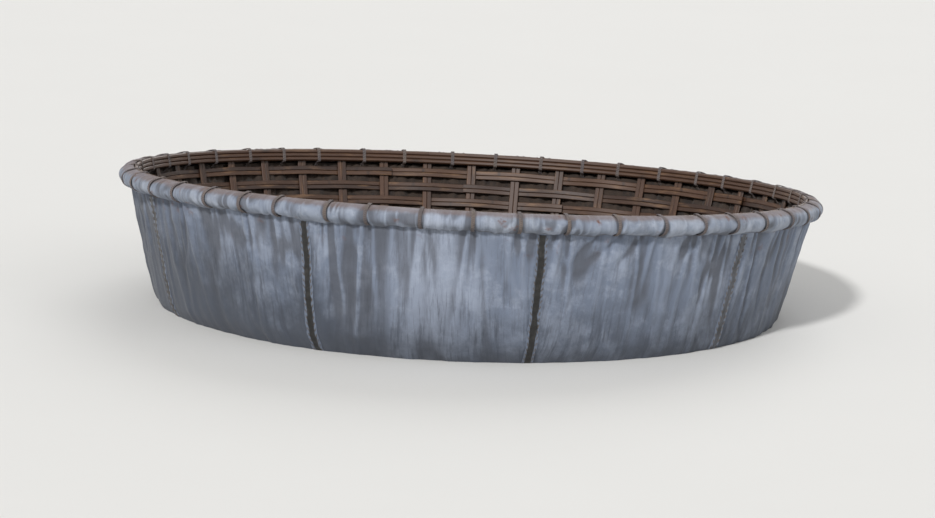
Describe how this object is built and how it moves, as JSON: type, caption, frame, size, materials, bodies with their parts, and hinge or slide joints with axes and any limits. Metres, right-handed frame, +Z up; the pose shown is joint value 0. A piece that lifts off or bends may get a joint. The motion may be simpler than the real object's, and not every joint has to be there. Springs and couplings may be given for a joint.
{
  "type": "round river coracle",
  "caption": "Round flat-bottomed basket boat of interlaced split bamboo, covered with stitched sackcloth gores over a rolled rim, carried in the hand and floated on rivers.",
  "frame": {"origin": "middle of the underside, on the surface that the boat stands on", "axes": "+Z up through the open top; -Y is the side nearest the viewer of the picture, +X to that viewer's right"},
  "size_m": [2.7044, 2.7052, 0.6477],
  "materials": {
    "sack_cloth": "weathered woven plastic sackcloth",
    "lip_cloth": "weathered woven plastic sackcloth, doubled",
    "tarred_cloth": "sackcloth under a coat of tar",
    "tar": "brushed tar",
    "split_bamboo": "split bamboo, darkened by use",
    "woven_bamboo": "split bamboo, darkened by use",
    "floor_bamboo": "split bamboo, worn",
    "hoop_bamboo": "split bamboo, darkened by use",
    "cane_bundle": "bundled cane, darkened by use",
    "cord": "twisted cord, faded red brown"
  },
  "bodies": {
    "root": {"bilge_hoop": "hoop_bamboo", "floor_slats_1": "floor_bamboo", "floor_slats_2": "floor_bamboo", "floor_slats_3": "floor_bamboo", "ribs_1": "split_bamboo", "ribs_2": "split_bamboo", "ribs_3": "split_bamboo", "ribs_4": "split_bamboo", "ribs_5": "split_bamboo", "ribs_6": "split_bamboo", "ribs_7": "split_bamboo", "ribs_8": "split_bamboo", "ribs_9": "split_bamboo", "rim_hoop_inner": "hoop_bamboo", "rim_lashings": "cord", "rim_lip": "lip_cloth", "rim_roll": "cane_bundle", "skin_bottom": "tarred_cloth", "skin_gore_1": "sack_cloth", "skin_gore_2": "sack_cloth", "skin_gore_3": "sack_cloth", "skin_gore_4": "sack_cloth", "skin_gore_5": "sack_cloth", "skin_gore_6": "sack_cloth", "skin_gore_7": "sack_cloth", "skin_gore_8": "sack_cloth", "skin_gore_9": "sack_cloth", "skin_seams": "tar", "weaver_1": "woven_bamboo", "weaver_2": "woven_bamboo", "weaver_3": "woven_bamboo", "weaver_4": "woven_bamboo", "weaver_5": "woven_bamboo", "weaver_6": "woven_bamboo", "weaver_7": "woven_bamboo", "weaver_8": "woven_bamboo"}
  },
  "joints": []
}
